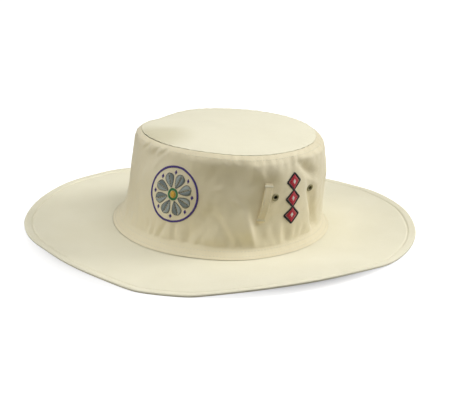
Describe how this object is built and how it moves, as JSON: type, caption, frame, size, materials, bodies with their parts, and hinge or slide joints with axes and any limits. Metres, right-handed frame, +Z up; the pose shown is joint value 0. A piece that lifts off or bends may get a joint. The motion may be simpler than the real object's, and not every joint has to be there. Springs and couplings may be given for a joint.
{
  "type": "sun hat",
  "caption": "Wide-brimmed cream cotton sun hat with a flat oval top, tapered crown, stitched hem, side eyelets and a band loop, resting on its brim.",
  "frame": {"origin": "on the surface the hat rests on, under the middle of the brim", "axes": "+Z up through the top panel, -Y to the front of the hat, +X to the wearer's left"},
  "size_m": [0.331, 0.351, 0.0919],
  "materials": {
    "cream_cotton": "matt woven cotton drill",
    "dull_brass": "dull, antiqued"
  },
  "bodies": {
    "root": {"crown_top": "cream_cotton", "crown_side": "cream_cotton", "brim": "cream_cotton", "band_loop": "cream_cotton", "eyelet_left_front": "dull_brass", "eyelet_left_back": "dull_brass", "eyelet_right_front": "dull_brass", "eyelet_right_back": "dull_brass"}
  },
  "joints": []
}
